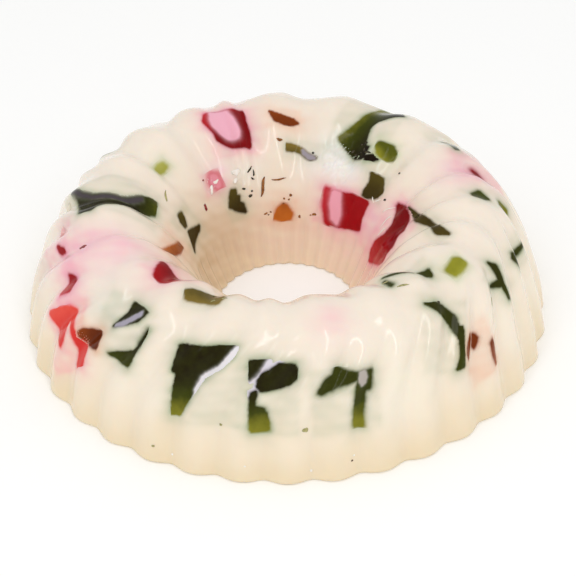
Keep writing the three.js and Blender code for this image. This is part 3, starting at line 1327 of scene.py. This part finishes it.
@dataclass
class MilkRing:
    """The fluted body of milk jelly, closed all round, flat underneath."""

    shape: RingShape
    finish: MilkFinish = field(default_factory=MilkFinish)
    columns: int = 576
    rows: int = 150
    underside_rows: int = 14
    foot_round: float = 1.2 * MM
    unevenness: float = 0.35 * MM
    unevenness_size: float = 38 * MM
    torn_size: float = 6 * MM

    def points(self) -> np.ndarray:
        """Places all points of the ring.

        Returns:
            The points, row by row, from the outer foot over the dome and back underneath.
        """
        along = np.linspace(0, 1, self.rows)[:, None]
        azimuth = np.linspace(0, 360, self.columns + 1)[None, :] + self.shape.flutes.start
        azimuth, along = np.broadcast_arrays(azimuth + self.shape.flutes.turn(along), along)
        moulded = self.shape.surface(azimuth, along)
        height = moulded[..., 2]
        near_foot = np.clip(1 - height / self.foot_round, 0, 1)
        inset = self.foot_round * (1 - np.sqrt(1 - near_foot**2))
        radius = np.hypot(moulded[..., 0], moulded[..., 1])
        share = 1 + np.where(along < 0.5, -1.0, 1.0) * inset / radius
        moulded[..., 0] *= share
        moulded[..., 1] *= share
        uneven = ripple(moulded.reshape(-1, 3), self.unevenness_size, seed=11).reshape(radius.shape)
        fade = smoothstep(0, 6 * MM, height) * self.unevenness
        moulded[..., 2] += uneven * fade - fade + self._torn(moulded.reshape(-1, 3)).reshape(radius.shape)
        inner, outer = moulded[-1:], moulded[:1]
        across = np.linspace(0, 1, self.underside_rows + 2)[1:, None, None]
        return np.concatenate([moulded, inner + (outer - inner) * across]).reshape(-1, 3)

    def _torn(self, points: np.ndarray) -> np.ndarray:
        """Finds how far the torn patches stand up or sink.

        Args:
            points: Places on the surface.

        Returns:
            The height to add at each.
        """
        total = np.zeros(len(points))
        broken = ripple(points, self.torn_size, seed=21, waves=9)
        for patch in TORN_PATCHES:
            centre = np.array(self.shape.frame_at(patch.azimuth, patch.along).translation)
            away = np.linalg.norm(points - centre, axis=1) / (patch.reach * MM)
            total += patch.depth * MM * np.exp(-(away**4)) * broken
        return total

    def build(self) -> bpy.types.Object:
        """Makes the mesh from a grid that is rolled up and joined along its edges.

        Returns:
            The finished piece.
        """
        deselect_all()
        bpy.ops.mesh.primitive_grid_add(
            x_subdivisions=self.columns, y_subdivisions=self.rows + self.underside_rows, size=0.1
        )
        ring = bpy.context.object
        ring.name = "milk_jelly"
        move_points(ring.data, self.points())
        bpy.ops.object.mode_set(mode="EDIT")
        bpy.ops.mesh.select_all(action="SELECT")
        bpy.ops.mesh.remove_doubles(threshold=0.01 * MM)
        bpy.ops.object.mode_set(mode="OBJECT")
        bpy.ops.object.shade_smooth()
        store_colours(ring.data, JellyMaterial.MILK, MilkColour(self.shape).at(points_of(ring.data)))
        ring.data.materials.clear()
        ring.data.materials.append(self.finish.make())
        return ring


@dataclass
class CubeMaker:
    """Makes each cube and presses its outer face against the mould, flush with the milk."""

    shape: RingShape
    ring: bpy.types.Object
    materials: JellyMaterial = field(default_factory=JellyMaterial)
    step: float = 0.4
    proud: float = 0.04
    sunk: float = 0.9
    waver: float = 0.3
    waver_length: float = 16.0
    start_height: float = 40.0

    def __post_init__(self) -> None:
        """Keeps the ring's surface for finding the mould."""
        self._mould = surface_tree(self.ring)

    def build(self, cube: JellyCube) -> bpy.types.Object:
        """Makes one cube.

        Args:
            cube: Which one.

        Returns:
            The finished piece.
        """
        deselect_all()
        bpy.ops.mesh.primitive_grid_add(
            x_subdivisions=round(cube.width / self.step),
            y_subdivisions=round(cube.height / self.step),
            size=1,
        )
        piece = bpy.context.object
        piece.name = cube.node.replace("cube", "jelly")
        bpy.ops.object.mode_set(mode="EDIT")
        bpy.ops.mesh.select_all(action="SELECT")
        bpy.ops.mesh.extrude_region_move(TRANSFORM_OT_translate={"value": (0, 0, 1)})
        bpy.ops.mesh.select_all(action="SELECT")
        bpy.ops.mesh.normals_make_consistent(inside=False)
        bpy.ops.object.mode_set(mode="OBJECT")
        points = points_of(piece.data)
        outer = points[:, 2] > 0.5
        points = points * (cube.width, cube.height, 0) + (0, 0, -cube.depth / 2)
        sides = points * (1, 1, 0)
        for axis in (0, 1):
            points[:, axis] += self.waver * ripple(sides, self.waver_length, cube.seed + axis)
        self._press(cube, points, outer)
        bare = cube.bare(points[:, 0], points[:, 1])
        # Painted light: the jelly is painted lighter towards one side, as though light came through it.
        level = self._level(cube, points)
        matrix = np.array(cube.matrix(self.shape))
        placed = points * MM @ matrix[:3, :3].T + matrix[:3, 3]
        move_points(piece.data, placed)
        bpy.ops.object.shade_smooth_by_angle(angle=math.radians(40))
        shade = np.stack([level, bare, np.zeros_like(bare), np.ones_like(bare)], axis=-1)
        store_colours(piece.data, JellyMaterial.SHADE, shade)
        # The milk over the cube, toned where it is thin, with the painted sheen of the toned islands.
        film_and_sheen = cube.film_and_sheen(points[:, 0], points[:, 1], MilkColour(self.shape).at(placed))
        store_colours(piece.data, JellyMaterial.MILK, film_and_sheen)
        piece.data.materials.clear()
        piece.data.materials.append(self.materials.of(cube.jelly.value))
        return piece

    def _press(self, cube: JellyCube, points: np.ndarray, outer: np.ndarray) -> None:
        """Lays the outer face on the mould where it is bare and under the milk elsewhere.

        Args:
            cube: Which cube.
            points: Its points in its own frame, in millimetres, moved in place.
            outer: Which of them are on the outer face.
        """
        matrix = cube.matrix(self.shape)
        inverse = matrix.inverted()
        way = -(matrix.to_3x3() @ Vector((0, 0, 1)))
        bare = cube.bare(points[:, 0], points[:, 1], with_film_and_sheen=False)
        for index in np.flatnonzero(outer):
            start = matrix @ (Vector((*points[index, :2], self.start_height)) * MM)
            hit = self._mould.ray_cast(start, way)[0]
            if hit is None:
                points[index, 2] = 0
                continue
            points[index, 2] = (inverse @ hit).z / MM
        lift = self.proud - self.sunk * (1 - smoothstep(0.002, 0.03, bare))
        points[outer, 2] += lift[outer]

    def _level(self, cube: JellyCube, points: np.ndarray) -> np.ndarray:
        """Finds how light the jelly is painted: lighter towards one side, as though light came through it
        where it is thin. This is painted light.

        Args:
            cube: Which cube.
            points: Its points in its own frame, in millimetres.

        Returns:
            The level at each, from 0 where it is deep and dark to about 1 on its side painted as lit.
        """
        angle = math.radians(cube.painted_light_side)
        towards = points[:, 0] * math.cos(angle) + points[:, 1] * math.sin(angle)
        edge = (abs(math.cos(angle)) * cube.width + abs(math.sin(angle)) * cube.height) / 2
        lit = 1 - smoothstep(0, cube.painted_light_reach, edge - towards)
        return cube.base_level + (cube.painted_light_level - cube.base_level) * lit


# ---- Crumbs and flakes ------------------------------------------------------------------


@dataclass(frozen=True)
class CrumbFinish:
    """Small scraps that came off the cubes or the milk and set in the skin of the ring."""

    name: str
    slot: str
    dark: str
    light: str
    roughness: float = 0.25
    thickness: float = 0.25
    cloud_size: float = 1.2 * MM

    def make(self) -> bpy.types.Material:
        """Builds the material, clouded between its dark and its light colour.

        Returns:
            The new material.
        """
        material = bpy.data.materials.new(self.name)
        material.use_nodes = True
        tree = material.node_tree
        shader = tree.nodes["Principled BSDF"]
        place = add_node(tree, "ShaderNodeTexCoord").outputs["Object"]
        cloud = add_node(
            tree, "ShaderNodeTexNoise", {"Scale": 1 / self.cloud_size}, {"Vector": place}
        ).outputs["Fac"]
        ramp = add_node(tree, "ShaderNodeValToRGB", links={"Fac": cloud})
        ramp.color_ramp.elements[0].position = 0.35
        ramp.color_ramp.elements[0].color = linear(self.dark)
        ramp.color_ramp.elements[1].position = 0.65
        ramp.color_ramp.elements[1].color = linear(self.light)
        tree.links.new(ramp.outputs["Color"], shader.inputs["Base Color"])
        shader.inputs["Roughness"].default_value = self.roughness
        shader.inputs["IOR"].default_value = 1.38
        return material


class Crumbs(Enum):
    """What the scraps are made of."""

    BROWN = CrumbFinish("amber_jelly_crumbs", "amber_jelly", "6a3a14", "a2662c")
    DARK = CrumbFinish("dark_jelly_crumbs", "green_jelly", "1d150c", "4a4228")
    OLIVE = CrumbFinish("olive_jelly_crumbs", "olive_jelly", "86824a", "b8b078", 0.3, 0.12)
    RED = CrumbFinish("red_jelly_crumbs", "red_jelly", "6a1418", "a84a44")
    WHITE = CrumbFinish("milk_jelly_flakes", "milk_jelly", "f9f0e4", "fffbf5", 0.18, 0.14)


@dataclass(frozen=True)
class Crumb:
    """One scrap: its place on the ring, its length and width in millimetres and its turn."""

    kind: Crumbs
    azimuth: float
    along: float
    length: float
    width: float
    turn: float = 0.0


CRUMBS = (
    # Two brown slivers and the crumbs round the amber cube in the hole.
    Crumb(Crumbs.BROWN, -167.3, 0.760, 8.5, 1.4, 68),
    Crumb(Crumbs.BROWN, -176.5, 0.740, 5.2, 0.8, 2),
    Crumb(Crumbs.BROWN, -178.0, 0.625, 2.6, 1.2, -10),
    Crumb(Crumbs.BROWN, 176.5, 0.788, 1.4, 1.2),
    Crumb(Crumbs.BROWN, -179.5, 0.798, 0.9, 0.9),
    Crumb(Crumbs.BROWN, 177.5, 0.801, 1.0, 0.7, 30),
    Crumb(Crumbs.BROWN, -179.0, 0.813, 0.9, 0.6),
    Crumb(Crumbs.BROWN, -167.0, 0.838, 1.6, 0.7, 10),
    Crumb(Crumbs.BROWN, -168.8, 0.842, 0.8, 0.6),
    Crumb(Crumbs.BROWN, -170.5, 0.835, 1.0, 0.6, -20),
    Crumb(Crumbs.BROWN, 160.5, 0.838, 1.8, 1.0, 15),
    Crumb(Crumbs.BROWN, 163.0, 0.842, 0.8, 0.6),
    Crumb(Crumbs.BROWN, 170.5, 0.850, 1.0, 1.5),
    # Dark scraps round the cubes of the slope, and the curled flake beside the pink one.
    Crumb(Crumbs.DARK, -161.6, 0.702, 3.2, 0.8, 35),
    Crumb(Crumbs.DARK, -163.4, 0.714, 2.8, 0.8, 80),
    Crumb(Crumbs.DARK, -162.2, 0.729, 1.8, 0.8, -35),
    Crumb(Crumbs.DARK, -156.0, 0.753, 1.6, 1.0),
    Crumb(Crumbs.DARK, -159.0, 0.778, 1.8, 1.2, 30),
    Crumb(Crumbs.DARK, -160.5, 0.765, 1.0, 0.8),
    Crumb(Crumbs.DARK, 144.0, 0.593, 2.2, 1.0, 30),
    Crumb(Crumbs.DARK, 145.8, 0.600, 1.4, 0.8),
    Crumb(Crumbs.DARK, 143.0, 0.613, 2.4, 1.0, -30),
    Crumb(Crumbs.DARK, 144.2, 0.625, 1.3, 0.9),
    Crumb(Crumbs.DARK, 146.0, 0.637, 1.8, 1.0, 20),
    Crumb(Crumbs.DARK, 140.5, 0.618, 3.2, 0.9, 10),
    Crumb(Crumbs.DARK, 148.5, 0.628, 2.0, 1.2, 45),
    Crumb(Crumbs.DARK, 120.0, 0.620, 1.1, 1.0),
    Crumb(Crumbs.DARK, 166.0, 0.660, 1.3, 1.0),
    Crumb(Crumbs.DARK, 117.0, 0.705, 1.5, 1.0, 40),
    Crumb(Crumbs.DARK, 43.0, 0.393, 1.6, 1.3),
    Crumb(Crumbs.DARK, 13.0, 0.055, 0.9, 0.8),
    Crumb(Crumbs.RED, -128.5, 0.755, 3.2, 1.3, 80),
    Crumb(Crumbs.RED, -135.0, 0.685, 1.3, 0.7, 30),
    Crumb(Crumbs.RED, -73.5, 0.400, 3.4, 2.1, 60),
    # Olive spots of the outer side and the rim of the dome.
    Crumb(Crumbs.OLIVE, 59.0, 0.293, 3.6, 1.8, 60),
    Crumb(Crumbs.OLIVE, 3.5, 0.158, 2.6, 1.9, 10),
    Crumb(Crumbs.OLIVE, -14.5, 0.160, 1.5, 0.9),
    Crumb(Crumbs.OLIVE, -110.0, 0.650, 5.0, 0.9, 40),
    Crumb(Crumbs.OLIVE, -23.5, 0.508, 2.6, 1.2),
    Crumb(Crumbs.OLIVE, -20.0, 0.515, 2.2, 1.0, 30),
    Crumb(Crumbs.OLIVE, 37.5, 0.485, 4.5, 0.9, -30),
    Crumb(Crumbs.OLIVE, 36.0, 0.548, 3.6, 0.9, -30),
    Crumb(Crumbs.OLIVE, 79.5, 0.320, 1.3, 0.8),
    Crumb(Crumbs.OLIVE, -29.0, 0.055, 1.4, 1.0),
    # White flakes of torn milk on the slope, and small bubbles near the foot.
    Crumb(Crumbs.WHITE, -137.5, 0.722, 4.5, 1.5, 50),
    Crumb(Crumbs.WHITE, -142.0, 0.706, 3.0, 1.3),
    Crumb(Crumbs.WHITE, -154.5, 0.700, 5.0, 2.6, 10),
    Crumb(Crumbs.WHITE, -152.5, 0.722, 3.2, 1.8, 60),
    Crumb(Crumbs.WHITE, 111.0, 0.715, 6.0, 0.5, 55),
    Crumb(Crumbs.WHITE, 108.0, 0.745, 7.0, 0.5, 75),
    Crumb(Crumbs.WHITE, 106.0, 0.780, 6.0, 0.5, 65),
    Crumb(Crumbs.WHITE, 122.0, 0.722, 4.0, 0.5, 35),
    Crumb(Crumbs.WHITE, 125.5, 0.728, 4.0, 0.5, -35),
    Crumb(Crumbs.WHITE, -25.0, 0.038, 0.9, 0.9),
    Crumb(Crumbs.WHITE, -9.0, 0.055, 0.8, 0.8),
    Crumb(Crumbs.WHITE, 4.5, 0.035, 1.0, 1.0),
    Crumb(Crumbs.WHITE, 13.5, 0.068, 0.9, 0.9),
)


@dataclass
class CrumbMaker:
    """Lays the scraps half into the surface, all of one kind as one piece."""

    shape: RingShape
    ring: bpy.types.Object
    unevenness: float = 0.28
    bend: float = 0.06

    def __post_init__(self) -> None:
        """Keeps the ring's surface for finding where a scrap lies."""
        self._surface = surface_tree(self.ring)

    def build(self, kind: Crumbs) -> bpy.types.Object:
        """Makes all scraps of one kind.

        Args:
            kind: Which kind.

        Returns:
            The finished piece.
        """
        made = [self._scrap(crumb, seed) for seed, crumb in enumerate(CRUMBS) if crumb.kind is kind]
        deselect_all()
        for scrap in made:
            scrap.select_set(True)
        bpy.context.view_layer.objects.active = made[0]
        if len(made) > 1:
            bpy.ops.object.join()
        piece = made[0]
        piece.name = kind.value.name
        bpy.ops.object.shade_smooth()
        piece.data.materials.clear()
        piece.data.materials.append(kind.value.make())
        return piece

    def _scrap(self, crumb: Crumb, seed: int) -> bpy.types.Object:
        """Makes one uneven, flattened scrap.

        Args:
            crumb: Which one.
            seed: Picks its unevenness.

        Returns:
            The scrap, in its place.
        """
        deselect_all()
        bpy.ops.mesh.primitive_ico_sphere_add(subdivisions=3, radius=1)
        scrap = bpy.context.object
        points = points_of(scrap.data)
        uneven = 1 + self.unevenness * ripple(points, 2.2, seed + 40)
        points = points * uneven[:, None] * (crumb.length / 2, crumb.width / 2, crumb.kind.value.thickness)
        points[:, 1] += self.bend * crumb.length * np.sin(points[:, 0] / crumb.length * 4 + seed)
        frame_on_ring = self.shape.frame_at(crumb.azimuth, crumb.along)
        way = -(frame_on_ring.to_3x3() @ Vector((0, 0, 1)))
        hit, normal, _, _ = self._surface.ray_cast(frame_on_ring @ Vector((0, 0, 20 * MM)), way)
        right = (frame_on_ring.to_3x3() @ Vector((1, 0, 0))).cross(normal).cross(normal) * -1
        right.normalize()
        laid = Matrix((right, normal.cross(right), normal)).transposed().to_4x4()
        turned = Matrix.Rotation(math.radians(crumb.turn), 4, "Z")
        matrix = np.array(Matrix.Translation(hit) @ laid @ turned)
        move_points(scrap.data, points * MM @ matrix[:3, :3].T + matrix[:3, 3])
        return scrap


# ---- The studio -------------------------------------------------------------------------


@dataclass(frozen=True)
class Studio:
    """A white table, soft lamps and the camera."""

    elevation: float = 37.24
    distance: float = 0.8039
    aim_height: float = 0.0275
    lens: float = 120.25
    roll: float = 0.906
    shift: tuple[float, float] = (0.0037, -0.0570)
    table: str = "fdfdfc"
    table_glow: float = 0.08
    light_all_round: float = 0.76

    def camera(self) -> None:
        """Places the camera in front of the ring, looking down on it."""
        data = bpy.data.cameras.new("camera")
        camera = bpy.data.objects.new("camera", data)
        bpy.context.scene.collection.objects.link(camera)
        tilt = math.radians(self.elevation)
        back = Vector((0, -math.cos(tilt), math.sin(tilt)))
        upright = Matrix.Rotation(math.radians(90 - self.elevation), 4, "X")
        turned = upright @ Matrix.Rotation(math.radians(-self.roll), 4, "Z")
        place = Vector((0, 0, self.aim_height)) + back * self.distance
        camera.matrix_world = Matrix.Translation(place) @ turned
        data.lens = self.lens
        data.sensor_width = 36
        data.shift_x, data.shift_y = self.shift
        data.clip_end = 20
        bpy.context.scene.camera = camera

    def lamp(
        self, name: str, azimuth: float, height: float, away: float, size: tuple[float, float], power: float
    ) -> None:
        """Adds one soft lamp that points at the ring.

        Args:
            name: What it is called.
            azimuth: Where it stands, in degrees from the front.
            height: Its angle above the table, in degrees.
            away: Its distance.
            size: Its width and height.
            power: In watts.
        """
        data = bpy.data.lights.new(name, "AREA")
        data.shape = "RECTANGLE"
        data.size, data.size_y = size
        data.energy = power
        lamp = bpy.data.objects.new(name, data)
        bpy.context.scene.collection.objects.link(lamp)
        turn, tilt = math.radians(azimuth), math.radians(height)
        level = math.cos(tilt)
        way = Vector((math.sin(turn) * level, -math.cos(turn) * level, math.sin(tilt)))
        lamp.location = way * away
        lamp.rotation_euler = way.to_track_quat("Z", "Y").to_euler()

    def build(self) -> None:
        """Sets up the table, the light all round and the lamps."""
        deselect_all()
        bpy.ops.mesh.primitive_plane_add(size=6)
        table = bpy.context.object
        table.name = "table"
        material = bpy.data.materials.new("white_table")
        material.use_nodes = True
        shader = material.node_tree.nodes["Principled BSDF"]
        shader.inputs["Base Color"].default_value = linear(self.table)
        shader.inputs["Roughness"].default_value = 0.8
        shader.inputs["Emission Color"].default_value = linear(self.table)
        shader.inputs["Emission Strength"].default_value = self.table_glow
        table.data.materials.append(material)
        world = bpy.data.worlds.new("studio")
        world.use_nodes = True
        background = world.node_tree.nodes["Background"]
        background.inputs["Color"].default_value = (1, 1, 1, 1)
        background.inputs["Strength"].default_value = self.light_all_round
        bpy.context.scene.world = world
        self.lamp("key", 24, 56, 1.2, (0.12, 0.9), 2.2)
        self.lamp("fill", -38, 52, 1.2, (0.10, 0.7), 1.2)
        self.lamp("back", 170, 60, 1.4, (0.8, 0.8), 0.3)
        bpy.context.scene.view_settings.view_transform = "Standard"
        self.camera()


def main() -> None:
    """Builds the jelly piece by piece, then the studio round it."""
    logging.basicConfig(level=logging.INFO, format="%(name)s: %(message)s")
    low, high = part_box(RING_NODE)
    shape = RingShape(Outline((high.x - low.x) / 2, high.z - low.z), Flutes())
    milk = MilkRing(shape)
    ring = milk.build()
    LOG.info("milk jelly: %d faces", len(ring.data.polygons))
    maker = CubeMaker(shape, ring)
    for cube in CUBES:
        piece = maker.build(cube)
        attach(piece, BODY)
        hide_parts(cube.node)
        LOG.info("%s: %d faces", piece.name, len(piece.data.polygons))
    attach(ring, BODY)
    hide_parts(RING_NODE)
    crumbs = CrumbMaker(shape, ring)
    for kind in Crumbs:
        piece = crumbs.build(kind)
        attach(piece, BODY)
        LOG.info("%s: %d faces", piece.name, len(piece.data.polygons))
    Studio().build()


if __name__ == "__main__":
    main()
